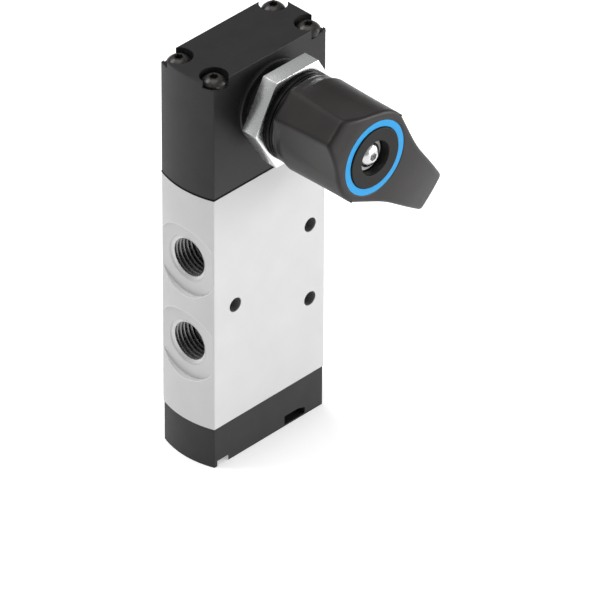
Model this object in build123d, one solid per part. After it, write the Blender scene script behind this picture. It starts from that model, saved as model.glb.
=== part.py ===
from build123d import *

import os
from math import acos, atan2, cos, hypot, radians, sin, tan

# Hand lever air valve, millimetres. +Z is up, the origin lies on the spool axis at the underside.
# The wide face with the knob looks along -Y, the two working ports along -X,
# and the supply port with its two exhausts along +X.

# Valve body: a flat block whose narrow side with the working ports bulges outwards
body_width = 42.6
body_depth = 20.0
side_bulge = 1.85
body_height = 76.25
corner_radius = 0.35
bore_radius = 6.75

# Stack of cap, gaskets, body and housing
cap_height = 12.85
cap_inset = 0.2
gasket_thickness = 0.3
gasket_inset = 0.3
housing_height = 37.5

# Threaded ports, quarter inch, at the outer radius of their thread
port_thread_radius = 6.58
port_mouth_radius = 7.0
port_mouth_depth = 0.3
port_thread_depth = 11.0
port_spotface_radius = 11.2
port_spotface_depth = 1.65
port_wall = 0.5
gallery_radius = 4.0
supply_port_pitch = 24.7
lower_port_drop = 13.3
upper_port_rise = 14.6

# Mounting holes right through the wide faces
mounting_hole_radius = 2.2
mounting_inset_right = 5.7
mounting_inset_left = 8.1
mounting_rise = 12.2
mounting_drop = 12.5

# Long screws that hold the housing
housing_screw_inset_x = 3.4
housing_screw_inset_y = 3.35
housing_screw_radius = 1.9
housing_head_radius = 3.3
housing_head_height = 2.7
housing_dome_height = 1.4
housing_flat_radius = 1.7
housing_pocket_radius = 4.0
housing_pocket_depth = 3.0
housing_notch_depth = 2.0
drive_radius = 1.3
drive_depth = 1.3

# Socket screws that hold the bottom cap
cap_screw_inset_x = 3.4
cap_screw_inset_y = 3.6
cap_screw_radius = 1.45
cap_head_radius = 2.75
cap_head_height = 3.0
cap_pocket_radius = 4.0
cap_pocket_depth = 1.8
cap_counterbore_depth = 5.2
cap_socket_radius = 1.4
cap_socket_depth = 1.6
screw_clearance = 0.1
thread_clearance = 0.05
tap_hole_spare = 1.0

# Slot above the lower edge of the cap, with its far upper corner cut off
cap_slot_left = 6.1
cap_slot_right = 14.05
cap_slot_bottom = 0.5
cap_slot_top = 3.35
cap_slot_cut_width = 2.55
cap_slot_cut_height = 0.9
cap_slot_depth = 4.0

# Cavity of the housing
cavity_width = 20.8
cavity_depth = 14.0
cavity_corner = 2.0
roof_thickness = 4.4
roof_edge_radius = 0.25

# Neck on its round pad, at the root radius of its thread
knob_axis_drop = 14.6
pad_radius = 12.3
pad_height = 1.2
pad_chamfer = 0.35
neck_radius = 10.1
neck_length = 12.0
neck_chamfer = 0.8
neck_bore_radius = 6.0

# Panel nut, seal and front ring on the neck
nut_across_flats = 27.4
nut_thickness = 5.1
nut_chamfer_start = 15.0
nut_chamfer_angle = 30.0
nut_travel = 3.7
nut_end_gap = 0.3
nut_clearance = 0.06
panel_seal_radius = 13.05
panel_seal_thickness = 1.2
panel_seal_rounding = 0.45
front_ring_radius = 13.0
front_ring_thickness = 2.0
front_ring_groove = 0.35
knob_gap = 0.3

# Knob, measured from its rear rim; the pointer points down to the right
knob_rest_angle = -45.0
knob_turn = 90.0
knob_length = 25.3
knob_front_radius = 13.6
knob_rear_radius = 13.8
knob_rim_radius = 13.05
knob_rim_height = 1.5
knob_rim_slope_height = 2.4
tail_reach_front = 18.8
tail_reach_rear = 13.2
tail_half_width_front = 3.9
tail_half_width_rear = 4.4
tail_drop = 2.5
tail_edge_radius = 1.4
tail_arch_start = 11.6
cheek_start = 1.2
cheek_angle = 19.7
lever_angle = 8.25
lever_tip_half_width = 5.5
lever_reach = 36.1
lever_tip_crown = 0.6
lever_root_depth = 15.5
lever_tip_depth = 8.0
lever_drop = 3.0
lever_blend_radius = 45.0
lever_corner_radius = 1.5
lever_arch_start = 12.8
knob_edge_radius = 0.8

# Face of the knob: coloured ring, insert and screw
ring_outer_radius = 11.05
ring_inner_radius = 9.15
ring_thickness = 1.2
insert_proud = 0.4
insert_thickness = 3.6
insert_clearance = 0.2
insert_rounding = 0.3
recess_radius = 5.1
washer_radius = 4.7
washer_thickness = 0.8
knob_screw_head_radius = 3.6
knob_screw_head_height = 2.0
knob_screw_dome_height = 1.4
knob_screw_flat_radius = 1.7
knob_screw_radius = 2.0
knob_screw_length = 15.0
knob_socket_radius = 1.25
knob_socket_depth = 1.1
knob_hollow_radius = 11.0
knob_hollow_depth = 3.0
knob_hub_radius = 6.5

# Selector shaft with its bush, seal, washer and retaining ring
shaft_radius = 4.0
shaft_flat_half = 3.0
shaft_stub_radius = 2.5
shaft_stub_flat_half = 1.9
shaft_front_gap = 2.0
shaft_running_clearance = 0.05
bush_length = 8.0
bush_wall_clearance = 0.05
seal_cord_radius = 0.9
gland_length = 2.2
gland_washer_thickness = 1.0
retaining_ring_thickness = 0.8
retaining_ring_radius = 5.3
retaining_groove_depth = 0.4
retaining_ring_gap = 3.0

# Crank disc with its detent notches, drive pin and detent spring
disc_radius = 8.0
disc_thickness = 2.7
disc_wall_gap = 0.4
notch_radius = 1.6
notch_depth = 1.4
notch_step = 45.0
spring_thickness = 0.45
spring_width = 2.3
spring_rise = 0.6
spring_slot_depth = 0.6
spring_bump_half_width = 2.0
spring_clearance = 0.15
crank_radius = 4.24
drive_pin_radius = 1.5
drive_pin_reach = 6.0

# Yoke on top of the spool
yoke_left = 4.0
yoke_right = 7.0
yoke_depth = 5.0
yoke_above_pin = 3.8
yoke_below_pin = 6.0
yoke_slot_clearance = 0.2
stem_seat_depth = 3.6

# Spool, its seals and the cages between them
spool_land_radius = 4.5
stem_radius = 3.0
stem_top_radius = 2.4
spool_running_clearance = 0.05
spool_foot_drop = 1.0
land_overlap = 1.3
land_length = 5.0
outer_land_length = 4.2
seal_width = 2.0
outer_seal_offset = 7.2
cage_wall = 1.5
stack_clearance = 0.05
cage_end_gap = 0.05
window_radius = 2.2
window_count = 4
guide_end_gap = 0.2
cap_well_radius = 3.8
cap_well_depth = 7.0

# Levels and places that follow from the sizes above
body_base = cap_height + gasket_thickness
body_top = body_base + body_height
body_middle = body_base + body_height / 2
housing_base = body_top + gasket_thickness
housing_top = housing_base + housing_height
knob_axis_height = housing_top - knob_axis_drop
front_face = -body_depth / 2
pad_face = front_face - pad_height
neck_end = pad_face - neck_length
nut_rear = pad_face - nut_end_gap - nut_travel
nut_front = nut_rear - nut_thickness
panel_seal_front = nut_front - panel_seal_thickness
front_ring_front = panel_seal_front - front_ring_thickness
knob_rear = front_ring_front - knob_gap
cavity_front = -cavity_depth / 2
cavity_top = housing_top - roof_thickness
working_port_face = body_width / 2 + side_bulge - port_spotface_depth
supply_port_face = body_width / 2
working_port_heights = (body_middle - lower_port_drop, body_middle + upper_port_rise)
supply_port_heights = (body_middle - supply_port_pitch, body_middle, body_middle + supply_port_pitch)
mounting_right = body_width / 2 - mounting_inset_right
mounting_left = mounting_inset_left - body_width / 2
mounting_upper = (mounting_right, body_middle + mounting_rise)
mounting_lower = (mounting_right, body_middle - mounting_drop)
mounting_holes = (mounting_upper, mounting_lower, (mounting_left, body_middle))
housing_screw_x = body_width / 2 - housing_screw_inset_x
housing_screw_y = body_depth / 2 - housing_screw_inset_y
cap_screw_x = body_width / 2 - cap_screw_inset_x
cap_screw_y = body_depth / 2 - cap_screw_inset_y
tap_hole_depth = body_height / 2 - supply_port_pitch - port_thread_radius - port_wall
recess_floor = knob_length + insert_proud - insert_thickness
disc_front = cavity_front + disc_wall_gap
disc_rear = disc_front + disc_thickness
bush_front = cavity_front - bush_length
gland_front = bush_front - gland_length
shaft_front = knob_rear - recess_floor + shaft_front_gap
half_turn = radians(knob_turn / 2)
spool_lift = crank_radius * sin(half_turn)
pin_x = crank_radius * cos(half_turn)
pin_height = knob_axis_height + spool_lift
port_heights = sorted(working_port_heights + supply_port_heights)
inner_seals = [(lower + upper) / 2 for lower, upper in zip(port_heights, port_heights[1:])]
seal_heights = [port_heights[0] - outer_seal_offset, *inner_seals, port_heights[-1] + outer_seal_offset]


def corner_points(x, y):
    """The four places of a screw in the corners of the block."""
    return [(sx * x, sy * y) for sx in (-1, 1) for sy in (-1, 1)]


def block_outline(inset=0.0):
    """Section of the block: two wide faces, a flat narrow side and a bulged one."""
    half_width = body_width / 2 - inset
    half_depth = body_depth / 2 - inset
    tip = half_width + side_bulge
    return make_face(
        [
            Line((-half_width, -half_depth), (half_width, -half_depth)),
            Line((half_width, -half_depth), (half_width, half_depth)),
            Line((half_width, half_depth), (-half_width, half_depth)),
            ThreePointArc((-half_width, half_depth), (-tip, 0), (-half_width, -half_depth)),
        ]
    )


def block(base, height, inset=0.0):
    """A slice of the block with its upright corners softened."""
    solid = extrude(Pos(0, 0, base) * block_outline(inset), height)
    return fillet(solid.edges().filter_by(Axis.Z), corner_radius)


def rod_z(x, y, radius, low, high):
    """Round bar along Z."""
    return Pos(x, y, (low + high) / 2) * Cylinder(radius, high - low)


def rod_y(x, z, radius, low, high):
    """Round bar along Y."""
    return Pos(x, (low + high) / 2, z) * Rot(90, 0, 0) * Cylinder(radius, high - low)


def rod_x(y, z, radius, low, high):
    """Round bar along X."""
    return Pos((low + high) / 2, y, z) * Rot(0, 90, 0) * Cylinder(radius, high - low)


def box_between(low, high):
    """Box between two opposite corners."""
    size = [b - a for a, b in zip(low, high)]
    centre = [(a + b) / 2 for a, b in zip(low, high)]
    return Pos(*centre) * Box(*size)


def sleeve_y(outer, inner, low, high):
    """Ring about the knob axis."""
    return rod_y(0, knob_axis_height, outer, low, high) - rod_y(0, knob_axis_height, inner, low, high)


def tube_z(outer, inner, low, high):
    """Ring about the spool axis."""
    return rod_z(0, 0, outer, low, high) - rod_z(0, 0, inner, low, high)


def port_tool(face, height):
    """What a port takes from the body, drawn on the +X side: mouth, thread hole and gallery."""
    mouth = Pos(face - port_mouth_depth / 2, 0, height) * Rot(0, 90, 0) * Cone(
        port_thread_radius, port_mouth_radius, port_mouth_depth
    )
    hole_end = face - port_thread_depth
    hole = rod_x(0, height, port_thread_radius, hole_end, face)
    return mouth + hole + rod_x(0, height, gallery_radius, 0, hole_end)


def make_valve_body():
    """Metal block with the spool bore, five ports, three mounting holes and tapped corners."""
    body = block(body_base, body_height)
    body -= rod_z(0, 0, bore_radius, body_base, body_top)
    for height in working_port_heights:
        beyond = working_port_face + 2 * port_spotface_depth
        spotface = rod_x(0, height, port_spotface_radius, working_port_face, beyond)
        body -= mirror(port_tool(working_port_face, height) + spotface, Plane.YZ)
    for height in supply_port_heights:
        body -= port_tool(supply_port_face, height)
    for x, z in mounting_holes:
        body -= rod_y(x, z, mounting_hole_radius, -body_depth, body_depth)
    for x, y in corner_points(housing_screw_x, housing_screw_y):
        tap_radius = housing_screw_radius + thread_clearance
        body -= rod_z(x, y, tap_radius, body_top - tap_hole_depth, body_top)
    for x, y in corner_points(cap_screw_x, cap_screw_y):
        tap_radius = cap_screw_radius + thread_clearance
        body -= rod_z(x, y, tap_radius, body_base, body_base + tap_hole_depth)
    return body


def make_bottom_cap():
    """Moulded end cap with screw holes, the well for the spool foot and a slot in its wide face."""
    cap = block(0, cap_height, cap_inset)
    for x, y in corner_points(cap_screw_x, cap_screw_y):
        if x < 0:
            cap -= rod_z(x, y, cap_pocket_radius, 0, cap_pocket_depth)
        cap -= rod_z(x, y, cap_head_radius + screw_clearance, 0, cap_counterbore_depth)
        cap -= rod_z(x, y, cap_screw_radius + screw_clearance, 0, cap_height)
    cap -= rod_z(0, 0, cap_well_radius, cap_height - cap_well_depth, cap_height)
    slot = Polygon(
        (cap_slot_left, cap_slot_bottom),
        (cap_slot_right, cap_slot_bottom),
        (cap_slot_right, cap_slot_top - cap_slot_cut_height),
        (cap_slot_right - cap_slot_cut_width, cap_slot_top),
        (cap_slot_left, cap_slot_top),
        align=None,
    )
    slot_face = Plane.XZ.offset(body_depth / 2) * slot
    return cap - extrude(slot_face, -cap_slot_depth)


def make_gasket(base, opening, screw_x, screw_y, screw_radius):
    """Flat gasket that follows the block, with openings for the spool and the screws."""
    gasket = block(base, gasket_thickness, gasket_inset)
    gasket -= rod_z(0, 0, opening, base, base + gasket_thickness)
    for x, y in corner_points(screw_x, screw_y):
        gasket -= rod_z(x, y, screw_radius + screw_clearance, base, base + gasket_thickness)
    return gasket


def make_housing():
    """Actuator housing: corner pockets, cavity for the crank, round pad and threaded neck."""
    housing = block(housing_base, housing_height)
    roof = housing.faces().sort_by(Axis.Z)[-1]
    housing = fillet(roof.edges(), roof_edge_radius)
    housing += rod_y(0, knob_axis_height, pad_radius, pad_face, front_face)
    pad_edge = housing.edges().filter_by(GeomType.CIRCLE).sort_by(Axis.Y)[0]
    housing = chamfer(pad_edge, pad_chamfer)
    housing += rod_y(0, knob_axis_height, neck_radius, neck_end, pad_face)
    neck_edge = housing.edges().filter_by(GeomType.CIRCLE).sort_by(Axis.Y)[0]
    housing = chamfer(neck_edge, neck_chamfer)
    cavity_plan = RectangleRounded(cavity_width, cavity_depth, cavity_corner)
    housing -= extrude(Pos(0, 0, housing_base) * cavity_plan, cavity_top - housing_base)
    housing -= rod_y(0, knob_axis_height, neck_bore_radius, neck_end, cavity_front)
    for x, y in corner_points(housing_screw_x, housing_screw_y):
        housing -= corner_notch(x, y)
        housing -= rod_z(x, y, housing_pocket_radius, housing_top - housing_pocket_depth, housing_top)
        housing -= rod_z(x, y, housing_screw_radius + screw_clearance, housing_base, housing_top)
    return housing - spring_slots()


def corner_notch(x, y):
    """Step that lowers a corner of the roof, from the axis of its screw outwards."""
    axis_foot = (x, y, housing_top - housing_notch_depth)
    outer_corner = (2 * x, 2 * y, housing_top)
    low = [min(a, b) for a, b in zip(axis_foot, outer_corner)]
    high = [max(a, b) for a, b in zip(axis_foot, outer_corner)]
    return box_between(low, high)


def spring_slots():
    """Slots in the cavity walls that hold the ends of the detent spring."""
    level = spring_seat_level()
    reach = cavity_width / 2 + spring_slot_depth
    far_side = disc_front + spring_width + 2 * spring_clearance
    upper_side = level + spring_thickness + spring_clearance
    return box_between((-reach, disc_front, level - spring_clearance), (reach, far_side, upper_side))


def spring_seat_level():
    """Underside of the flat ends of the detent spring."""
    return knob_axis_height + disc_radius + spring_rise


def make_housing_screws():
    """Four long screws with domed heads and a star-shaped drive."""
    seat = housing_top - housing_pocket_depth
    tip = body_top - tap_hole_depth + tap_hole_spare
    head = domed_head(housing_head_radius, housing_head_height, housing_dome_height, housing_flat_radius)
    drive = extrude(star_outline(drive_radius), drive_depth)
    screw = rod_z(0, 0, housing_screw_radius, tip, seat) + Pos(0, 0, seat) * head
    screw -= Pos(0, 0, seat + housing_head_height - drive_depth) * drive
    return copies(screw, corner_points(housing_screw_x, housing_screw_y))


def domed_head(radius, height, dome_height, flat_radius):
    """Screw head on the plane Z = 0: a short cylinder under a round dome with a flat top."""
    centre_drop = (radius**2 + dome_height**2 - flat_radius**2) / (2 * dome_height)
    dome = Pos(0, 0, height - centre_drop) * Sphere(hypot(flat_radius, centre_drop))
    return rod_z(0, 0, radius, 0, height) & dome


def star_outline(radius):
    """Six-lobed drive socket."""
    lobe = radius * 0.28
    outline = Circle(radius * 0.8)
    for x, y in [(cos(radians(60 * k)), sin(radians(60 * k))) for k in range(6)]:
        outline += Pos((radius - lobe) * x, (radius - lobe) * y) * Circle(lobe)
    return outline


def copies(solid, points):
    """The same solid at each point, as separate solids in one part."""
    return Compound(children=[Pos(x, y, 0) * solid for x, y in points])


def make_cap_screws():
    """Four socket head screws, put in from below."""
    seat = cap_counterbore_depth
    head = rod_z(0, 0, cap_head_radius, seat - cap_head_height, seat)
    socket = RegularPolygon(cap_socket_radius, 6)
    head -= Pos(0, 0, seat - cap_head_height) * extrude(socket, cap_socket_depth)
    screw = head + rod_z(0, 0, cap_screw_radius, seat, body_base + tap_hole_depth - tap_hole_spare)
    return copies(screw, corner_points(cap_screw_x, cap_screw_y))


def make_panel_nut():
    """Hexagon nut, chamfered on both sides, that runs on the thread of the neck."""
    corner_radius_nut = nut_across_flats / 2 / cos(radians(30))
    outline = RegularPolygon(corner_radius_nut, 6)
    nut = extrude(Plane.XZ.offset(-nut_rear) * Pos(0, knob_axis_height) * outline, nut_thickness)
    fall = (corner_radius_nut - nut_chamfer_start) * tan(radians(nut_chamfer_angle))
    profile = Polygon(
        (0, 0),
        (nut_chamfer_start, 0),
        (corner_radius_nut, fall),
        (corner_radius_nut, nut_thickness - fall),
        (nut_chamfer_start, nut_thickness),
        (0, nut_thickness),
        align=None,
    )
    turned = revolve(Plane.XZ * profile, Axis.Z)
    nut &= Pos(0, nut_rear, knob_axis_height) * Rot(90, 0, 0) * turned
    return nut - rod_y(0, knob_axis_height, neck_radius + nut_clearance, nut_front, nut_rear)


def make_panel_seal():
    """Flat rubber seal between the panel and the front ring."""
    seal = sleeve_y(panel_seal_radius, neck_radius + nut_clearance, panel_seal_front, nut_front)
    outer_edges = seal.edges().filter_by(GeomType.CIRCLE).group_by(SortBy.RADIUS)[-1]
    return fillet(outer_edges, panel_seal_rounding)


def make_front_ring():
    """Round ring nut at the front of the neck, with a shallow groove."""
    ring = sleeve_y(front_ring_radius, neck_radius + nut_clearance, front_ring_front, panel_seal_front)
    middle = (front_ring_front + panel_seal_front) / 2
    groove = sleeve_y(
        front_ring_radius,
        front_ring_radius - front_ring_groove,
        middle - front_ring_groove / 2,
        middle + front_ring_groove / 2,
    )
    return ring - groove


def knob_place():
    """From the knob's own frame, with X along the pointer and Z outwards, to the valve."""
    angle = radians(knob_rest_angle)
    plane = Plane(
        origin=(0, knob_rear, knob_axis_height),
        x_dir=(cos(angle), 0, sin(angle)),
        z_dir=(0, -1, 0),
    )
    return plane.location


def grip_plan(radius, reach, half_width, height):
    """Plan of the grip at one height: a circle closed by two tangents to the narrow tail."""
    corner_angle = atan2(half_width, -reach)
    touch = corner_angle - acos(radius / hypot(reach, half_width))
    x = radius * cos(touch)
    y = radius * sin(touch)
    return Pos(0, 0, height) * make_face(
        [
            Line((-reach, -half_width), (-reach, half_width)),
            Line((-reach, half_width), (x, y)),
            ThreePointArc((x, y), (radius, 0), (x, -y)),
            Line((x, -y), (-reach, -half_width)),
        ]
    )


def tail_at(height):
    """Reach and half width of the tail at one height: its edges are straight lines."""
    share = height / knob_length
    reach = tail_reach_rear + (tail_reach_front - tail_reach_rear) * share
    half_width = tail_half_width_rear + (tail_half_width_front - tail_half_width_rear) * share
    return reach, half_width


def make_grip():
    """Grip without the lever: a thin rim, a slope up to the full radius and the faceted tail."""
    slope_end = knob_rim_height + knob_rim_slope_height
    steps = (
        (knob_rim_radius, 0),
        (knob_rim_radius, knob_rim_height),
        (knob_rear_radius, slope_end),
        (knob_front_radius, knob_length),
    )
    grip = loft([grip_plan(radius, *tail_at(height), height) for radius, height in steps], ruled=True)
    tail_edges = grip.edges().filter_by(lambda edge: edge.center().X < -tail_reach_rear)
    return fillet(tail_edges.filter_by(lambda edge: abs(edge.tangent_at(0.5).Z) > 0.8), tail_edge_radius)


def cheek_half_width(x):
    """Half width between the two flat cheeks where the lever grows out of the grip."""
    start_y = (knob_front_radius**2 - cheek_start**2) ** 0.5
    return start_y - (x - cheek_start) * tan(radians(cheek_angle))


def lever_half_width(x):
    """Half width of the straight tapering part of the lever."""
    return lever_tip_half_width + (lever_reach - x) * tan(radians(lever_angle))


def lever_knee():
    """Where the line of a cheek meets the side of the lever."""
    gap = cheek_half_width(0) - lever_half_width(0)
    return gap / (tan(radians(cheek_angle)) - tan(radians(lever_angle)))


def lever_plan():
    """Plan of the lever with its cheeks, blended knees and a slightly crowned tip."""
    knee = lever_knee()
    half_knee = lever_half_width(knee)
    side_end = lever_reach - lever_tip_crown
    half_end = lever_half_width(side_end)
    half_start = cheek_half_width(cheek_start)
    plan = make_face(
        [
            Line((cheek_start, -half_start), (cheek_start, half_start)),
            Line((cheek_start, half_start), (knee, half_knee)),
            Line((knee, half_knee), (side_end, half_end)),
            ThreePointArc((side_end, half_end), (lever_reach, 0), (side_end, -half_end)),
            Line((side_end, -half_end), (knee, -half_knee)),
            Line((knee, -half_knee), (cheek_start, -half_start)),
        ]
    )
    plan = fillet(plan.vertices().filter_by(lambda v: abs(v.X - knee) < 0.01), lever_blend_radius)
    return fillet(plan.vertices().sort_by(Axis.X)[-2:], lever_corner_radius)


def make_lever():
    """Lever: the plan pulled back to its root depth, with a sloped underside."""
    lever = extrude(Pos(0, 0, knob_length) * lever_plan(), -lever_root_depth)
    seam = knob_length - lever_root_depth
    tip = knob_length - lever_tip_depth - lever_drop
    beyond = lever_reach + lever_corner_radius
    belly = Polygon(
        (knob_front_radius, seam - knob_edge_radius),
        (knob_front_radius, seam),
        (beyond, tip),
        (beyond, seam - knob_edge_radius),
        align=None,
    )
    return lever - extrude(Plane.XZ * belly, 2 * knob_front_radius, both=True)


def cheek_cuts():
    """Slivers that the two cheeks take off the round side of the grip."""
    outer = 2 * knob_front_radius
    sliver = Polygon(
        (cheek_start, cheek_half_width(cheek_start)),
        (lever_knee(), lever_half_width(lever_knee())),
        (lever_knee(), outer),
        (cheek_start, outer),
        align=None,
    )
    upper = extrude(Pos(0, 0, knob_length) * sliver, -lever_root_depth)
    return upper + mirror(upper, Plane.XZ)


def face_arch(side, first, reach, drop):
    """What the arch of the face takes off between the coloured ring and the outline."""
    run = reach - first
    half_fall = atan2(drop, run)
    radius = run / sin(2 * half_fall)
    start = (side * first, knob_length)
    middle = (
        side * (first + radius * sin(half_fall)),
        knob_length - radius * (1 - cos(half_fall)),
    )
    end = (side * reach, knob_length - drop)
    beyond = (end[0] + side * run * cos(2 * half_fall), end[1] - run * sin(2 * half_fall))
    above = knob_length + drop
    outline = make_face(
        [
            ThreePointArc(start, middle, end),
            Line(end, beyond),
            Line(beyond, (beyond[0], above)),
            Line((beyond[0], above), (start[0], above)),
            Line((start[0], above), start),
        ]
    )
    return extrude(Plane.XZ * outline, 2 * knob_front_radius, both=True)


def make_knob():
    """Knob with its arched face, face pockets, hollow rear and the socket for the shaft."""
    knob = make_grip() - cheek_cuts() + make_lever()
    knob -= face_arch(-1, tail_arch_start, tail_reach_front, tail_drop)
    knob -= face_arch(1, lever_arch_start, lever_reach, lever_drop)
    face_edges = knob.edges().filter_by(lambda edge: edge.center().Z > knob_length - 2 * lever_drop)
    face_edges = face_edges.filter_by(lambda edge: abs(edge.tangent_at(0.5).Z) < 0.7)
    outline_edges = face_edges.filter_by(lambda edge: not crosses_face(edge))
    knob = fillet(outline_edges, knob_edge_radius)
    knob -= rod_z(0, 0, ring_outer_radius, knob_length - ring_thickness, knob_length + 1)
    knob -= rod_z(0, 0, ring_inner_radius, recess_floor, knob_length + 1)
    knob -= tube_z(knob_hollow_radius, knob_hub_radius, 0, knob_hollow_depth)
    knob -= rod_z(0, 0, knob_screw_radius + screw_clearance, 0, knob_length)
    knob -= front_drive(shaft_running_clearance)
    return knob_place() * knob


def crosses_face(edge):
    """True for the smooth lines across the face where its arches begin."""
    start = edge @ 0
    end = edge @ 1
    straight_across = abs(start.X - end.X) < 0.01 and abs(start.Y + end.Y) < 0.01
    return straight_across and -tail_reach_rear < start.X < lever_arch_start + 1


def double_flat_bar(radius, half, low, high):
    """Round bar with two flats, in the knob's own frame."""
    bar = rod_z(0, 0, radius, low, high)
    return bar & box_between((-half, -2 * radius, low), (half, 2 * radius, high))


def front_drive(clearance):
    """Flattened front end of the shaft, inside the knob."""
    length = knob_rear - shaft_front
    return double_flat_bar(shaft_radius + clearance, shaft_flat_half + clearance, 0, length)


def rear_stub(clearance):
    """Flattened rear end of the shaft, inside the crank disc."""
    radius = shaft_stub_radius + clearance
    half = shaft_stub_flat_half + clearance
    return double_flat_bar(radius, half, knob_rear - disc_rear, knob_rear - disc_front)


def make_indicator_ring():
    """Coloured ring let into the face of the knob."""
    base = knob_length - ring_thickness
    ring = tube_z(ring_outer_radius, ring_inner_radius, base, knob_length)
    return knob_place() * ring


def make_knob_insert():
    """Round insert inside the coloured ring, with the recess for the screw."""
    top = knob_length + insert_proud
    insert = rod_z(0, 0, ring_inner_radius - insert_clearance, recess_floor, top)
    insert -= rod_z(0, 0, recess_radius, recess_floor, top)
    rims = insert.edges().filter_by(GeomType.CIRCLE).group_by(Axis.Z)[-1]
    return knob_place() * fillet(rims, insert_rounding)


def make_knob_washer():
    """Washer under the head of the knob screw."""
    return knob_place() * tube_z(
        washer_radius, knob_screw_radius + screw_clearance, recess_floor, recess_floor + washer_thickness
    )


def make_knob_screw():
    """Button head screw that draws the knob onto the shaft."""
    seat = recess_floor + washer_thickness
    head = domed_head(
        knob_screw_head_radius, knob_screw_head_height, knob_screw_dome_height, knob_screw_flat_radius
    )
    socket = extrude(RegularPolygon(knob_socket_radius, 6), knob_socket_depth)
    head -= Pos(0, 0, knob_screw_head_height - knob_socket_depth) * socket
    head += rod_z(0, 0, knob_screw_radius, -knob_screw_length, 0)
    return knob_place() * Pos(0, 0, seat) * head


def make_selector_shaft():
    """Shaft from the crank disc to the knob, with two flats at each end."""
    shaft = rod_y(0, knob_axis_height, shaft_radius, knob_rear, disc_front)
    shaft += knob_place() * (front_drive(0) + rear_stub(0))
    length = knob_rear - shaft_front
    thread_end = recess_floor + washer_thickness - knob_screw_length - tap_hole_spare
    shaft -= knob_place() * rod_z(0, 0, knob_screw_radius + thread_clearance, thread_end, length)
    groove_rear = gland_front - gland_washer_thickness
    return shaft - sleeve_y(
        2 * shaft_radius,
        shaft_radius - retaining_groove_depth,
        groove_rear - retaining_ring_thickness,
        groove_rear,
    )


def make_crank_disc():
    """Disc on the rear end of the shaft, with three detent notches and the hole of the drive pin."""
    disc = rod_y(0, knob_axis_height, disc_radius, disc_front, disc_rear)
    notch_centre = disc_radius + notch_radius - notch_depth
    for position in range(3):
        angle = radians(90 + position * notch_step)
        x = notch_centre * cos(angle)
        z = knob_axis_height + notch_centre * sin(angle)
        disc -= rod_y(x, z, notch_radius, disc_front, disc_rear)
    disc -= knob_place() * rear_stub(shaft_running_clearance)
    return disc - rod_y(pin_x, pin_height, drive_pin_radius, disc_front, disc_rear)


def make_drive_pin():
    """Pin pressed into the crank disc, which moves the yoke of the spool."""
    pin = rod_y(pin_x, pin_height, drive_pin_radius, disc_front, disc_rear + drive_pin_reach)
    tip = pin.edges().filter_by(GeomType.CIRCLE).sort_by(Axis.Y)[-1]
    return chamfer(tip, drive_pin_radius / 4)


def make_detent_spring():
    """Leaf spring across the cavity, whose nose rests in a notch of the crank disc."""
    level = spring_seat_level()
    reach = cavity_width / 2 + spring_slot_depth - spring_clearance
    nose = knob_axis_height + disc_radius - notch_depth + spring_clearance
    lower = [
        (-reach, level),
        (-spring_bump_half_width, level),
        (0, nose),
        (spring_bump_half_width, level),
        (reach, level),
    ]
    upper = [(x, z + spring_thickness) for x, z in reversed(lower)]
    strip = Polygon(*lower, *upper, align=None)
    start = disc_front + spring_clearance
    return extrude(Plane.XZ.offset(-start) * strip, -spring_width)


def make_shaft_bush():
    """Plain bearing of the shaft in the neck."""
    return sleeve_y(
        neck_bore_radius - bush_wall_clearance,
        shaft_radius + shaft_running_clearance,
        bush_front,
        cavity_front,
    )


def make_shaft_seal():
    """Rubber ring in front of the bush."""
    middle = (bush_front + gland_front) / 2
    centre_radius = neck_bore_radius - seal_cord_radius - bush_wall_clearance
    return Pos(0, middle, knob_axis_height) * Rot(90, 0, 0) * Torus(centre_radius, seal_cord_radius)


def make_gland_washer():
    """Washer that keeps the rubber ring in its gland."""
    return sleeve_y(
        neck_bore_radius - bush_wall_clearance,
        shaft_radius + shaft_running_clearance,
        gland_front - gland_washer_thickness,
        gland_front,
    )


def make_retaining_ring():
    """Snap ring in the groove of the shaft, open on one side."""
    rear = gland_front - gland_washer_thickness - thread_clearance
    front = rear - retaining_ring_thickness + 2 * thread_clearance
    inner = shaft_radius - retaining_groove_depth + thread_clearance
    ring = sleeve_y(retaining_ring_radius, inner, front, rear)
    half_gap = retaining_ring_gap / 2
    low = (-half_gap, front, knob_axis_height)
    high = (half_gap, rear, knob_axis_height + 2 * retaining_ring_radius)
    return ring - box_between(low, high)


def make_spool_yoke():
    """Fork on top of the spool, with the cross slot for the drive pin."""
    low = (-yoke_left, -yoke_depth / 2, pin_height - yoke_below_pin)
    high = (yoke_right, yoke_depth / 2, pin_height + yoke_above_pin)
    yoke = box_between(low, high)
    half_slot = drive_pin_radius + yoke_slot_clearance
    slot_start = pin_x - yoke_slot_clearance
    yoke -= rod_y(slot_start, pin_height, half_slot, -yoke_depth / 2, yoke_depth / 2)
    yoke -= box_between(
        (slot_start, -yoke_depth / 2, pin_height - half_slot),
        (yoke_right, yoke_depth / 2, pin_height + half_slot),
    )
    stem_hole = pin_height - yoke_below_pin + stem_seat_depth
    yoke -= rod_z(0, 0, stem_top_radius + thread_clearance, pin_height - yoke_below_pin, stem_hole)
    return fillet(yoke.edges().filter_by(Axis.Y).group_by(Axis.X)[0], 1.0)


def make_spool():
    """Spool: a stem with six lands, drawn at its upper position."""
    foot = body_base - spool_foot_drop + spool_lift
    shoulder = pin_height - yoke_below_pin
    spool = rod_z(0, 0, stem_radius, foot, shoulder)
    spool += rod_z(0, 0, stem_top_radius, shoulder, shoulder + stem_seat_depth)
    for low, high in land_spans():
        spool += rod_z(0, 0, spool_land_radius, low + spool_lift, high + spool_lift)
    ends = spool.edges().filter_by(GeomType.CIRCLE).group_by(Axis.Z)
    return chamfer(ends[0], stem_radius / 6)


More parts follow.
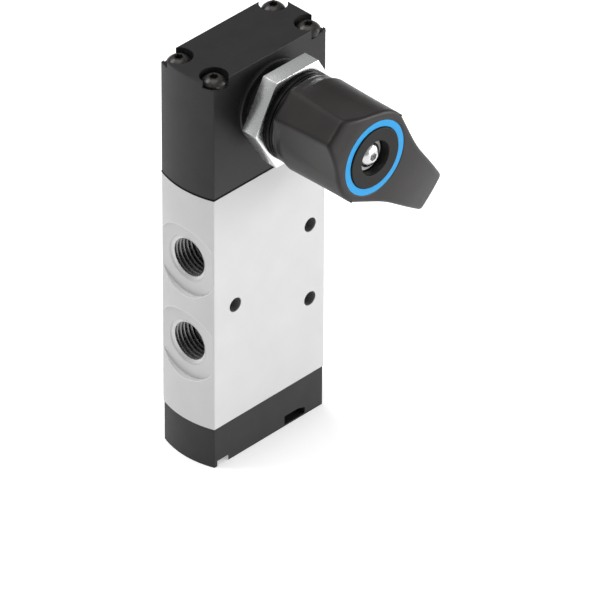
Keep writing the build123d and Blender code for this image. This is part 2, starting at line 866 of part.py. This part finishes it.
def land_spans():
    """Lower and upper end of each land with the spool in its middle position."""
    lower_outlet, lower_supply, upper_supply, upper_outlet = seal_heights[1:5]
    return [
        (lower_outlet - land_overlap - outer_land_length, lower_outlet - land_overlap),
        (lower_supply - land_overlap, lower_supply + land_length),
        (upper_supply - land_length, upper_supply + land_overlap),
        (upper_outlet + land_overlap, upper_outlet + land_overlap + outer_land_length),
    ]


def seal_bore(index):
    """Radius that a seal runs on: the stem at both ends, the lands between."""
    at_end = index in (0, len(seal_heights) - 1)
    return (stem_radius if at_end else spool_land_radius) + spool_running_clearance


def make_spool_seals():
    """Rubber rings between the cages, one at each seat of the spool."""
    outer = bore_radius - stack_clearance
    rings = []
    for index, height in enumerate(seal_heights):
        ring = tube_z(outer, seal_bore(index), height - seal_width / 2, height + seal_width / 2)
        rings.append(ring)
    return Compound(children=rings)


def make_spacer_cages():
    """Cages between the seals, with windows opposite the ports."""
    outer = bore_radius - stack_clearance
    cages = []
    for below, above, window in zip(seal_heights, seal_heights[1:], port_heights):
        low = below + seal_width / 2 + cage_end_gap
        high = above - seal_width / 2 - cage_end_gap
        cage = tube_z(outer, outer - cage_wall, low, high)
        for turn in range(window_count // 2):
            angle = turn * 360 / window_count
            cage -= Rot(0, 0, angle) * rod_x(0, window, window_radius, -bore_radius, bore_radius)
        cages.append(cage)
    return Compound(children=cages)


def make_guide(low, high):
    """Guide bush of the stem at one end of the bore."""
    return tube_z(bore_radius - stack_clearance, stem_radius + spool_running_clearance, low, high)


os.makedirs("parts", exist_ok=True)

lower_guide_top = seal_heights[0] - seal_width / 2 - cage_end_gap
upper_guide_base = seal_heights[-1] + seal_width / 2 + cage_end_gap

parts = {
    "valve_body": make_valve_body(),
    "bottom_cap": make_bottom_cap(),
    "cap_gasket": make_gasket(cap_height, cap_well_radius, cap_screw_x, cap_screw_y, cap_screw_radius),
    "housing_gasket": make_gasket(
        body_top, cap_well_radius, housing_screw_x, housing_screw_y, housing_screw_radius
    ),
    "actuator_housing": make_housing(),
    "housing_screws": make_housing_screws(),
    "cap_screws": make_cap_screws(),
    "panel_nut": make_panel_nut(),
    "panel_seal": make_panel_seal(),
    "front_ring": make_front_ring(),
    "knob": make_knob(),
    "indicator_ring": make_indicator_ring(),
    "knob_insert": make_knob_insert(),
    "knob_washer": make_knob_washer(),
    "knob_screw": make_knob_screw(),
    "selector_shaft": make_selector_shaft(),
    "crank_disc": make_crank_disc(),
    "drive_pin": make_drive_pin(),
    "detent_spring": make_detent_spring(),
    "shaft_bush": make_shaft_bush(),
    "shaft_seal": make_shaft_seal(),
    "gland_washer": make_gland_washer(),
    "retaining_ring": make_retaining_ring(),
    "spool_yoke": make_spool_yoke(),
    "spool": make_spool(),
    "spool_seals": make_spool_seals(),
    "spacer_cages": make_spacer_cages(),
    "lower_guide": make_guide(body_base + guide_end_gap, lower_guide_top),
    "upper_guide": make_guide(upper_guide_base, body_top - guide_end_gap),
}

for name, solid in parts.items():
    export_step(solid, f"parts/{name}.step")
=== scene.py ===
import math

import bpy
from mathutils import Matrix, Vector


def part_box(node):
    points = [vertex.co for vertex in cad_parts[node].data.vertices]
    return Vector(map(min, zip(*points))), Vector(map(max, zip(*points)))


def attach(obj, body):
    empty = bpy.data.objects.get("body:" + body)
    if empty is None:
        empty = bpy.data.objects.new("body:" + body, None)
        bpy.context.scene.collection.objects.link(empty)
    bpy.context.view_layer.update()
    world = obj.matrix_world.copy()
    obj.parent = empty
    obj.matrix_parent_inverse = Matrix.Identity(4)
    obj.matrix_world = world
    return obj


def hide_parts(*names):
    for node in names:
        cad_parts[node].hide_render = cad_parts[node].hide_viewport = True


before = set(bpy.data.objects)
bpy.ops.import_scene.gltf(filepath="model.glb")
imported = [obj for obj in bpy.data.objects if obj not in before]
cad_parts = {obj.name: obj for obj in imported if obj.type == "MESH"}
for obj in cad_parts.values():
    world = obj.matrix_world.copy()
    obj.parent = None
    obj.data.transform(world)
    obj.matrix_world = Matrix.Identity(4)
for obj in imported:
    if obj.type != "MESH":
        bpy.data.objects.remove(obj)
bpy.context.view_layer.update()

# Sizes of the valve, in metres
MM = 0.001
BODY_MIDDLE = 51.275 * MM
WORKING_PORTS = (BODY_MIDDLE - 13.3 * MM, BODY_MIDDLE + 14.6 * MM)
SUPPLY_PORTS = (BODY_MIDDLE - 24.7 * MM, BODY_MIDDLE, BODY_MIDDLE + 24.7 * MM)
WORKING_FACE = 21.5 * MM
SUPPLY_FACE = 21.3 * MM

# Quarter inch pipe thread of the ports, and the cones at their mouths
PORT_ROOT = 6.58 * MM
PORT_CREST = 5.75 * MM
PORT_PITCH = 1.337 * MM
PORT_DEPTH = 11.0 * MM
MOUTH_START = 0.3 * MM
MOUTH_LENGTH = 0.95 * MM
MOUTH_CREST_SHARE = 0.16

# The thread ends this far below the middle of the cone, so that it doesn't stand out of it
THREAD_SETBACK = 0.19 * MM

# Painted highlight on the rim around the flat seat of a working port: its radius, its half width,
# and how far past the seat it starts
SEAT_RADIUS = 11.2 * MM
SEAT_RIM = 0.12 * MM
SEAT_LIP = 0.02 * MM

# Thread of the neck, 22 mm with a pitch of 1.5 mm
NECK_ROOT = 10.1 * MM
NECK_CREST = 11.0 * MM
NECK_PITCH = 1.5 * MM
NECK_START = -11.6 * MM
NECK_TURNS = 7
KNOB_AXIS_HEIGHT = 112.6 * MM

# Section of a thread ridge: its foot as a share of the pitch, its crest as a share of the foot
RIDGE_FOOT_SHARE = 0.96
RIDGE_CREST_SHARE = 0.14

# How a ridge is swept: how deep its foot stands in the wall, the steps of one turn, and the
# distance within which points are joined
ROOT_OVERLAP = 0.03 * MM
THREAD_STEPS = 72
WELD = 0.001 * MM

# Beyond these distances from the middle the body shows its outer faces; within them its bores get
# painted shade
BORE_HALF_X = 20.9 * MM
BORE_HALF_Y = 9.8 * MM

# Radius of the edges of the knob in the shading
KNOB_EDGE_RADIUS = 1.3 * MM

# Panel nut: the radius of its bore, which clears the thread, and the width of its bevels
NUT_BORE = 11.04 * MM
NUT_EDGE = 0.1 * MM
NUT_BORE_SIDES = 96

# Screw pockets of the housing and the rims in them, with heights from the roof
SCREW_X = 17.9 * MM
SCREW_Y = 6.65 * MM
RIM_SIDE = 3.32 * MM
RIM_BORE = 3.34 * MM
RIM_TOP = -2.45 * MM
POCKET_FLOOR = -3.02 * MM
RIM_BORE_SIDES = 64

# Bulged side of the body, and the lip of the upper gasket around the foot of the housing
SIDE_BULGE = 1.85 * MM
BULGE_RADIUS = 27.95 * MM
LIP_PROUD = 0.05 * MM
LIP_WIDTH = 0.6 * MM
LIP_HEIGHT = 0.55 * MM
BULGE_SIDES = 256

# Faces that meet at less than this angle are shaded as one
SMOOTH_ANGLE = math.radians(25)

QUARTER_TURN = math.pi / 2

# Noise below and above which a finish has reached its two ends
NOISE_LOW = 0.3
NOISE_HIGH = 0.7

# Blasted faces of the body: cells per metre of the cloud and the speckle, and the tones of the
# faces, of the painted shade in the bores and of the painted highlight on the seat rims
CLOUD_SCALE = 90
SPECKLE_SCALE = 5200
FACE_TONES = (0.50, 0.525)
BORE_SHADE_TONE = 0.2
SEAT_RIM_HIGHLIGHT_TONE = 0.72

# Depths of the grain of a finish, and the haze and spread of roughness of a moulding
FINE_GRAIN = 0.01 * MM
COARSE_GRAIN = 0.02 * MM
HAZE_SCALE = 140
ROUGHNESS_SPREAD = 0.05

# Where the photograph was taken from
VIEW_AZIMUTH = math.radians(-45.0)
VIEW_ELEVATION = math.radians(35.264)
VIEW_DISTANCE = 2354 * MM
VIEW_TARGET = Vector((0, 0, 65 * MM))
AIM_RIGHT = 15.30 * MM
AIM_UP = -19.43 * MM
LENS = 519.3
SENSOR = 36
CLIP_END = 20

# Pale room, and the panels of light: name, place in metres, size in metres and power in watts
ROOM_STRENGTH = 0.355
PANELS = (
    ("key", (1.4, -1.1, 0.2), 1.0, 19),
    ("fill", (0.7, -1.5, 0.1), 1.0, 21),
    ("rim", (-0.6, 0.9, 1.2), 0.7, 8),
    ("back", (0.25, 0.95, 1.3), 0.5, 3),
    ("top", (-0.1, 0.0, 1.5), 1.2, 8),
)

# Floor, just under the foot of the valve
FLOOR_SIZE = 8
FLOOR_HEIGHT = -0.02 * MM
FLOOR_GLOW = 0.38
FLOOR_SCALE = 3
FLOOR_TONES = (0.93, 0.95)


def deselect_all():
    """Nothing selected and no active object, because the frame arrives selected."""
    bpy.ops.object.select_all(action="DESELECT")
    bpy.context.view_layer.objects.active = None


def apply_place():
    """Moves the place, turn and scale of the selected object into its mesh."""
    bpy.ops.object.transform_apply(location=True, rotation=True, scale=True)


def make_camera():
    """Long lens looking down at the corner between the knob side and the port side."""
    back = Vector(
        (
            math.sin(VIEW_AZIMUTH) * math.cos(VIEW_ELEVATION),
            -math.cos(VIEW_AZIMUTH) * math.cos(VIEW_ELEVATION),
            math.sin(VIEW_ELEVATION),
        )
    )
    right = Vector((math.cos(VIEW_AZIMUTH), math.sin(VIEW_AZIMUTH), 0))
    up = back.cross(right)
    place = VIEW_TARGET + back * VIEW_DISTANCE
    aim = VIEW_TARGET + right * AIM_RIGHT + up * AIM_UP
    axis = (place - aim).normalized()
    side = (right - axis * right.dot(axis)).normalized()
    turned = Matrix((side, axis.cross(side), axis)).transposed().to_4x4()
    bpy.ops.object.camera_add(location=place)
    camera = bpy.context.object
    camera.name = "camera"
    camera.matrix_world = Matrix.Translation(place) @ turned
    camera.data.lens = LENS
    camera.data.sensor_width = SENSOR
    camera.data.clip_end = CLIP_END
    bpy.context.scene.camera = camera


def shader(name):
    """A new material with its principled shader, ready for nodes."""
    material = bpy.data.materials.new(name)
    material.use_nodes = True
    return material, material.node_tree.nodes["Principled BSDF"]


def add_node(material, kind, **values):
    """A node in the material, with its properties and named inputs set."""
    node = material.node_tree.nodes.new(kind)
    for name, value in values.items():
        if name in node.inputs:
            node.inputs[name].default_value = value
        else:
            setattr(node, name, value)
    return node


def join(material, source, target):
    """A link between two sockets."""
    material.node_tree.links.new(source, target)


def own_place(material):
    """The object's own coordinates, in metres."""
    return add_node(material, "ShaderNodeTexCoord").outputs["Object"]


def calculate(material, operation, *values):
    """Result of one step of arithmetic; a value is a number or comes from another node."""
    node = add_node(material, "ShaderNodeMath", operation=operation)
    for value, target in zip(values, node.inputs):
        if isinstance(value, bpy.types.NodeSocket):
            join(material, value, target)
        else:
            target.default_value = value
    return node.outputs[0]


def noise(material, scale, detail=2):
    """Noise over the object's own coordinates; the scale is in cells per metre."""
    texture = add_node(material, "ShaderNodeTexNoise", Scale=scale, Detail=detail)
    join(material, own_place(material), texture.inputs["Vector"])
    return texture.outputs["Fac"]


def grey(tone):
    """A colour without a hue."""
    return (tone, tone, tone)


def tint(material, principled, source, low, high):
    """Base colour that wanders between two tones."""
    blend = add_node(material, "ShaderNodeValToRGB")
    ends = ((NOISE_LOW, low), (NOISE_HIGH, high))
    for stop, (position, colour) in zip(blend.color_ramp.elements, ends):
        stop.position = position
        stop.color = (*colour, 1)
    join(material, source, blend.inputs["Fac"])
    join(material, blend.outputs["Color"], principled.inputs["Base Color"])


def gloss(material, principled, source, low, high):
    """Roughness that wanders between two values."""
    mapped = add_node(material, "ShaderNodeMapRange")
    mapped.inputs["From Min"].default_value = NOISE_LOW
    mapped.inputs["From Max"].default_value = NOISE_HIGH
    mapped.inputs["To Min"].default_value = low
    mapped.inputs["To Max"].default_value = high
    join(material, source, mapped.inputs["Value"])
    join(material, mapped.outputs["Result"], principled.inputs["Roughness"])


def grain(material, principled, height, depth):
    """Fine surface relief: depth in metres of the given height pattern."""
    bump = add_node(material, "ShaderNodeBump", Distance=depth)
    join(material, height, bump.inputs["Height"])
    join(material, bump.outputs["Normal"], principled.inputs["Normal"])


def outside_of_bore_shade(material):
    """One on the outer faces of the body and zero inside its bores, where painted shade goes."""
    axes = add_node(material, "ShaderNodeSeparateXYZ")
    join(material, own_place(material), axes.inputs["Vector"])
    shares = []
    for axis, half in (("X", BORE_HALF_X), ("Y", BORE_HALF_Y)):
        distance = calculate(material, "ABSOLUTE", axes.outputs[axis])
        shares.append(calculate(material, "GREATER_THAN", distance, half))
    return calculate(material, "MAXIMUM", *shares)


def seat_rim_highlight_mask(material):
    """One on the rims around the seats of the working ports, where a painted highlight goes, and
    zero elsewhere.
    """
    place = own_place(material)
    axes = add_node(material, "ShaderNodeSeparateXYZ")
    join(material, place, axes.inputs["Vector"])
    flat = add_node(material, "ShaderNodeVectorMath", operation="MULTIPLY")
    flat.inputs[1].default_value = (0, 1, 1)
    join(material, place, flat.inputs[0])
    rims = []
    for height in WORKING_PORTS:
        reach = add_node(material, "ShaderNodeVectorMath", operation="DISTANCE")
        reach.inputs[1].default_value = (0, 0, height)
        join(material, flat.outputs[0], reach.inputs[0])
        radius = reach.outputs["Value"]
        rims.append(calculate(material, "COMPARE", radius, SEAT_RADIUS, SEAT_RIM))
    either = calculate(material, "MAXIMUM", *rims)
    past_seat = calculate(material, "LESS_THAN", axes.outputs["X"], -WORKING_FACE - SEAT_LIP)
    return calculate(material, "MULTIPLY", either, past_seat)


def blend_colours(material, share, colour, other):
    """From one colour to the other by a share; a colour is given or comes from another node."""
    node = add_node(material, "ShaderNodeMix", data_type="RGBA")
    join(material, share, node.inputs[0])
    for value, target in ((colour, node.inputs[6]), (other, node.inputs[7])):
        if isinstance(value, bpy.types.NodeSocket):
            join(material, value, target)
        else:
            target.default_value = (*value, 1)
    return node.outputs[2]


def blasted_metal():
    """Light blasted aluminium of the body, with painted shade inside its bores and a painted
    highlight on the seat rims.
    """
    material, principled = shader("blasted_metal")
    speckle = noise(material, SPECKLE_SCALE)
    tint(material, principled, noise(material, CLOUD_SCALE), *map(grey, FACE_TONES))
    gloss(material, principled, speckle, 0.42, 0.58)
    base = principled.inputs["Base Color"]
    faces = base.links[0].from_socket
    # Painted shade inside the bores
    bore_shaded = blend_colours(material, outside_of_bore_shade(material), grey(BORE_SHADE_TONE), faces)
    # Painted highlight on the rims around the seats of the working ports
    highlighted = blend_colours(material, seat_rim_highlight_mask(material), bore_shaded, grey(SEAT_RIM_HIGHLIGHT_TONE))
    join(material, highlighted, base)
    principled.inputs["Metallic"].default_value = 0.25
    grain(material, principled, speckle, FINE_GRAIN)
    return material


def plain_finish(name, tones, roughness, scale, detail=2, metallic=0, specular=0.5, depth=0):
    """A finish with one noise in its tone, its roughness and, where it has a depth, its relief."""
    material, principled = shader(name)
    cloud = noise(material, scale, detail)
    tint(material, principled, cloud, *tones)
    gloss(material, principled, cloud, *roughness)
    principled.inputs["Metallic"].default_value = metallic
    principled.inputs["Specular IOR Level"].default_value = specular
    if depth:
        grain(material, principled, cloud, depth)
    return material


def moulded_plastic(name, tones, roughness, scale, depth=FINE_GRAIN, specular=0.3):
    """Moulded plastic with a fine grain and a wide haze."""
    material, principled = shader(name)
    cells = noise(material, scale)
    tint(material, principled, noise(material, HAZE_SCALE), *tones)
    ends = (roughness - ROUGHNESS_SPREAD, roughness + ROUGHNESS_SPREAD)
    gloss(material, principled, cells, *ends)
    principled.inputs["IOR"].default_value = 1.5
    principled.inputs["Specular IOR Level"].default_value = specular
    grain(material, principled, cells, depth)
    return material


def soften_edges(material, radius):
    """Turns the light softly round the edges of a moulding."""
    rounded = add_node(material, "ShaderNodeBevel", samples=8, Radius=radius)
    relief = next(node for node in material.node_tree.nodes if node.type == "BUMP")
    join(material, rounded.outputs["Normal"], relief.inputs["Normal"])


def dress(material, *nodes):
    """Puts a material on nodes of the frame."""
    for name in nodes:
        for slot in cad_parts[name].material_slots:
            slot.material = material


def finish_piece(piece, name, body, material):
    """Gives a modelled piece its name, material, body and slot, with its origin at zero."""
    piece.name = name
    apply_place()
    piece.data.materials.clear()
    piece.data.materials.append(material)
    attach(piece, body)


def shape_with(piece, operation, tool):
    """Cuts a piece with a tool, or keeps what both share, and removes the tool."""
    change = piece.modifiers.new("change", "BOOLEAN")
    change.operation = operation
    change.object = tool
    bpy.ops.object.modifier_apply(modifier="change")
    bpy.data.objects.remove(tool)


def swept_ridge(root, crest, length, crest_share, rise, turns):
    """A ridge about +Z, swept from its tapered section; with no rise it closes to a ring."""
    deselect_all()
    foot = root + math.copysign(ROOT_OVERLAP, root - crest)
    middle = (foot + crest) / 2
    upright = (QUARTER_TURN, 0, 0)
    bpy.ops.mesh.primitive_plane_add(size=1, location=(middle, 0, 0), rotation=upright)
    ridge = bpy.context.object
    ridge.scale = (abs(foot - crest), length, 1)
    apply_place()
    bpy.ops.object.mode_set(mode="EDIT")
    bpy.ops.mesh.select_all(action="DESELECT")
    bpy.ops.object.mode_set(mode="OBJECT")
    for vertex in ridge.data.vertices:
        vertex.select = (vertex.co.x - middle) * (crest - middle) > 0
    bpy.ops.object.mode_set(mode="EDIT")
    bpy.ops.transform.resize(value=(1, 1, crest_share), center_override=(0, 0, 0))
    bpy.ops.object.mode_set(mode="OBJECT")
    sweep = ridge.modifiers.new("sweep", "SCREW")
    sweep.axis = "Z"
    sweep.screw_offset = rise
    sweep.iterations = turns
    sweep.steps = THREAD_STEPS
    sweep.render_steps = THREAD_STEPS
    sweep.use_merge_vertices = rise == 0
    sweep.merge_threshold = WELD
    sweep.use_smooth_shade = False
    bpy.ops.object.modifier_apply(modifier="sweep")
    bpy.ops.object.mode_set(mode="EDIT")
    bpy.ops.mesh.select_all(action="SELECT")
    bpy.ops.mesh.remove_doubles(threshold=WELD)
    bpy.ops.mesh.fill_holes(sides=4)
    bpy.ops.mesh.select_all(action="SELECT")
    bpy.ops.mesh.normals_make_consistent(inside=False)
    bpy.ops.object.mode_set(mode="OBJECT")
    bpy.ops.object.shade_smooth_by_angle(angle=SMOOTH_ANGLE)
    return ridge


def thread_ridge(root, crest, pitch, turns):
    """Ridge of a thread about +Z, one pitch higher with every turn."""
    foot_length = pitch * RIDGE_FOOT_SHARE
    return swept_ridge(root, crest, foot_length, RIDGE_CREST_SHARE, pitch, turns)


def port_thread(name, side, face, height, thread_finish, mouth_finish):
    """Thread of one port and the cone of its mouth."""
    mouth = swept_ridge(PORT_ROOT, PORT_CREST, MOUTH_LENGTH, MOUTH_CREST_SHARE, 0, 1)
    mouth_middle = face - MOUTH_START - MOUTH_LENGTH / 2
    mouth.rotation_euler = (0, side * QUARTER_TURN, 0)
    mouth.location = (side * mouth_middle, 0, height)
    finish_piece(mouth, f"{name}_mouth", "valve", mouth_finish)
    start = face - PORT_DEPTH + PORT_PITCH / 2
    end = mouth_middle - THREAD_SETBACK
    turns = int((end - start) / PORT_PITCH)
    thread = thread_ridge(PORT_ROOT, PORT_CREST, PORT_PITCH, turns)
    thread.rotation_euler = (0, side * QUARTER_TURN, 0)
    thread.location = (side * (end - turns * PORT_PITCH), 0, height)
    finish_piece(thread, f"{name}_thread", "valve", thread_finish)


def neck_thread(material):
    """Thread of the neck, on which the panel nut runs."""
    thread = thread_ridge(NECK_ROOT, NECK_CREST, NECK_PITCH, NECK_TURNS)
    thread.rotation_euler = (QUARTER_TURN, 0, 0)
    thread.location = (0, NECK_START - NECK_PITCH / 2, KNOB_AXIS_HEIGHT)
    finish_piece(thread, "neck_thread", "valve", material)


def sharp_nut(material):
    """Hexagon nut with crisp corners and a clear bore, in the place of the plain one."""
    low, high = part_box("panel_nut")
    thickness = high[1] - low[1]
    deselect_all()
    bpy.ops.mesh.primitive_cylinder_add(
        vertices=NUT_BORE_SIDES, radius=NUT_BORE, depth=2 * thickness
    )
    bore = bpy.context.object
    corner = (high[2] - low[2]) / 2 / math.cos(math.pi / 6)
    bpy.ops.mesh.primitive_cylinder_add(
        vertices=6, radius=corner, depth=thickness, rotation=(0, 0, QUARTER_TURN)
    )
    nut = bpy.context.object
    apply_place()
    shape_with(nut, "DIFFERENCE", bore)
    rounding = nut.modifiers.new("rounding", "BEVEL")
    rounding.width = NUT_EDGE
    rounding.segments = 2
    rounding.limit_method = "ANGLE"
    bpy.ops.object.modifier_apply(modifier="rounding")
    bpy.ops.object.shade_smooth_by_angle(angle=SMOOTH_ANGLE)
    nut.rotation_euler = (QUARTER_TURN, 0, 0)
    nut.location = (0, (low[1] + high[1]) / 2, (low[2] + high[2]) / 2)
    finish_piece(nut, "hexagon_nut", "panel_nut", material)
    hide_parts("panel_nut")


def pocket_rims(material):
    """Low rims that close the screw pockets where they break through the walls of the housing."""
    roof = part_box("actuator_housing")[1][2]
    deselect_all()
    bpy.ops.mesh.primitive_cylinder_add(vertices=RIM_BORE_SIDES, radius=RIM_BORE, depth=RIM_SIDE)
    bore = bpy.context.object
    bpy.ops.mesh.primitive_cube_add(size=1, location=(RIM_SIDE / 2, RIM_SIDE / 2, 0))
    rim = bpy.context.object
    rim.scale = (RIM_SIDE, RIM_SIDE, RIM_TOP - POCKET_FLOOR)
    apply_place()
    shape_with(rim, "DIFFERENCE", bore)
    height = roof + (RIM_TOP + POCKET_FLOOR) / 2
    corners = ((1, 1, 0), (-1, 1, 1), (-1, -1, 2), (1, -1, 3))
    rims = []
    for side_x, side_y, quarters in corners:
        copied = rim.copy()
        copied.data = rim.data.copy()
        bpy.context.collection.objects.link(copied)
        copied.rotation_euler = (0, 0, quarters * QUARTER_TURN)
        copied.location = (side_x * SCREW_X, side_y * SCREW_Y, height)
        rims.append(copied)
    bpy.data.objects.remove(rim)
    deselect_all()
    for copied in rims:
        copied.select_set(True)
    bpy.context.view_layer.objects.active = rims[0]
    bpy.ops.object.join()
    finish_piece(rims[0], "pocket_rims", "valve", material)


def gasket_lip(material):
    """Lip of the upper gasket, squeezed out as a dark line around the foot of the housing."""
    low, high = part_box("valve_body")
    middle = ((low[0] + high[0]) / 2, 0, high[2] + LIP_HEIGHT / 2)
    deselect_all()
    bpy.ops.mesh.primitive_cylinder_add(
        vertices=BULGE_SIDES,
        radius=BULGE_RADIUS + LIP_PROUD,
        depth=2 * LIP_HEIGHT,
        location=(low[0] + BULGE_RADIUS, 0, middle[2]),
    )
    bulge = bpy.context.object
    left = low[0] + SIDE_BULGE + LIP_WIDTH
    right = high[0] - LIP_WIDTH
    bpy.ops.mesh.primitive_cube_add(size=1, location=((left + right) / 2, 0, middle[2]))
    opening = bpy.context.object
    opening.scale = (right - left, high[1] - low[1] - 2 * LIP_WIDTH, 2 * LIP_HEIGHT)
    apply_place()
    bpy.ops.mesh.primitive_cube_add(size=1, location=middle)
    lip = bpy.context.object
    around = 2 * LIP_PROUD
    lip.scale = (high[0] - low[0] + around, high[1] - low[1] + around, LIP_HEIGHT)
    apply_place()
    shape_with(lip, "INTERSECT", bulge)
    shape_with(lip, "DIFFERENCE", opening)
    bpy.ops.object.shade_smooth_by_angle(angle=SMOOTH_ANGLE)
    finish_piece(lip, "gasket_lip", "valve", material)


def make_lights():
    """Plain soft studio light: a pale room and five large panels."""
    world = bpy.data.worlds.new("studio")
    bpy.context.scene.world = world
    world.use_nodes = True
    background = world.node_tree.nodes["Background"]
    background.inputs["Color"].default_value = (*grey(1), 1)
    background.inputs["Strength"].default_value = ROOM_STRENGTH
    for name, place, size, power in PANELS:
        data = bpy.data.lights.new(name, "AREA")
        data.size = size
        data.energy = power
        lamp = bpy.data.objects.new(name, data)
        bpy.context.collection.objects.link(lamp)
        lamp.location = place
        lamp.rotation_euler = (VIEW_TARGET - Vector(place)).to_track_quat("-Z", "Y").to_euler()


def make_floor():
    """Pale floor, lit faintly from below like a light table."""
    deselect_all()
    bpy.ops.mesh.primitive_plane_add(size=FLOOR_SIZE, location=(0, 0, FLOOR_HEIGHT))
    floor = bpy.context.object
    floor.name = "floor"
    apply_place()
    material, principled = shader("pale_floor")
    tint(material, principled, noise(material, FLOOR_SCALE), *map(grey, FLOOR_TONES))
    principled.inputs["Roughness"].default_value = 0.9
    principled.inputs["Emission Color"].default_value = (*grey(1), 1)
    principled.inputs["Emission Strength"].default_value = FLOOR_GLOW
    floor.data.materials.append(material)


bpy.context.scene.view_settings.view_transform = "Standard"
make_camera()
make_lights()
make_floor()

body_finish = blasted_metal()
# Cut aluminium of the threads, brighter than the painted shade of the bores they stand in
cut_finish = plain_finish(
    "thread_metal",
    tones=(grey(0.21), grey(0.29)),
    roughness=(0.22, 0.36),
    scale=1500,
    detail=3,
    metallic=0.85,
    depth=FINE_GRAIN,
)
# Turned aluminium of the cones at the mouths of the ports
turned_finish = plain_finish(
    "turned_metal",
    tones=(grey(0.52), grey(0.58)),
    roughness=(0.28, 0.36),
    scale=2600,
    metallic=0.5,
)
housing_finish = moulded_plastic(
    "housing_plastic",
    tones=((0.012, 0.011, 0.011), (0.016, 0.015, 0.015)),
    roughness=0.5,
    scale=5200,
    depth=COARSE_GRAIN,
)
knob_finish = moulded_plastic(
    "knob_plastic",
    tones=((0.011, 0.0095, 0.009), (0.015, 0.013, 0.012)),
    roughness=0.4,
    scale=4200,
)
soften_edges(knob_finish, KNOB_EDGE_RADIUS)
# Darker, less glossy copy of the knob plastic on the insert: painted shade of the knob's face
insert_shade_finish = moulded_plastic(
    "insert_plastic_painted_shade",
    tones=((0.006, 0.0055, 0.005), (0.009, 0.008, 0.0075)),
    roughness=0.4,
    scale=4200,
    specular=0.17,
)
# Darker, duller copy of the black plastic on the front ring between nut and knob: painted shade
front_ring_shade_finish = moulded_plastic(
    "ring_plastic",
    tones=(grey(0.003), grey(0.005)),
    roughness=0.45,
    scale=4200,
    specular=0.08,
)
cage_finish = moulded_plastic(
    "cage_plastic",
    tones=((0.60, 0.57, 0.48), (0.68, 0.65, 0.55)),
    roughness=0.45,
    scale=2400,
)
# Satin blue of the indicator ring
blue_finish = plain_finish(
    "ring_blue",
    tones=((0.006, 0.245, 0.54), (0.009, 0.265, 0.58)),
    roughness=(0.40, 0.5),
    scale=900,
    specular=0.3,
    depth=FINE_GRAIN,
)
# Zinc plated steel of the panel nut
nut_finish = plain_finish(
    "plated_steel",
    tones=((0.82, 0.83, 0.83), (0.85, 0.86, 0.86)),
    roughness=(0.27, 0.29),
    scale=3000,
    metallic=1,
)
# Lighter, half-metallic copy of the steel on the washer under the knob screw: a painted glint in
# its dark recess
washer_glint_finish = plain_finish(
    "washer_steel_painted_glint",
    tones=(grey(0.62), grey(0.72)),
    roughness=(0.3, 0.4),
    scale=2600,
    metallic=0.4,
)
# Polished steel of the knob screw and the steel parts inside
steel_finish = plain_finish(
    "bright_steel",
    tones=(grey(0.54), grey(0.64)),
    roughness=(0.2, 0.28),
    scale=1800,
    detail=3,
    metallic=1,
)
# Black oxide on the long screws
screw_finish = plain_finish(
    "black_steel",
    tones=((0.030, 0.027, 0.026), (0.045, 0.041, 0.039)),
    roughness=(0.24, 0.36),
    scale=1600,
    detail=3,
    metallic=0.5,
    depth=FINE_GRAIN,
)
# Matt rubber of the seals and gaskets
rubber_finish = plain_finish(
    "black_rubber",
    tones=(grey(0.001), grey(0.003)),
    roughness=(0.5, 0.62),
    scale=2400,
    specular=0.05,
    depth=FINE_GRAIN,
)
# Brass and bare metal of the pieces inside that come off a lathe
bush_finish = plain_finish(
    "bush_brass",
    tones=((0.62, 0.44, 0.19), (0.70, 0.52, 0.25)),
    roughness=(0.24, 0.34),
    scale=1800,
    detail=3,
    metallic=1,
)
spool_finish = plain_finish(
    "spool_metal",
    tones=((0.60, 0.60, 0.62), (0.68, 0.68, 0.70)),
    roughness=(0.24, 0.34),
    scale=1800,
    detail=3,
    metallic=1,
)

dress(body_finish, "valve_body")
dress(housing_finish, "actuator_housing", "bottom_cap")
dress(knob_finish, "knob")
dress(insert_shade_finish, "knob_insert")
dress(front_ring_shade_finish, "front_ring")
dress(blue_finish, "indicator_ring")
dress(washer_glint_finish, "knob_washer")
dress(nut_finish, "panel_nut")
dress(screw_finish, "housing_screws", "cap_screws")
dress(rubber_finish, "cap_gasket", "housing_gasket", "panel_seal", "shaft_seal", "spool_seals")
dress(cage_finish, "spacer_cages", "lower_guide", "upper_guide")
dress(
    steel_finish,
    "knob_screw",
    "selector_shaft",
    "crank_disc",
    "drive_pin",
    "detent_spring",
    "gland_washer",
    "retaining_ring",
)
dress(bush_finish, "shaft_bush")
dress(spool_finish, "spool", "spool_yoke")

for number, height in enumerate(WORKING_PORTS, 1):
    port_thread(f"working_port_{number}", -1, WORKING_FACE, height, cut_finish, turned_finish)
for number, height in enumerate(SUPPLY_PORTS, 1):
    port_thread(f"supply_port_{number}", 1, SUPPLY_FACE, height, cut_finish, turned_finish)
neck_thread(housing_finish)
sharp_nut(nut_finish)
pocket_rims(housing_finish)
gasket_lip(rubber_finish)
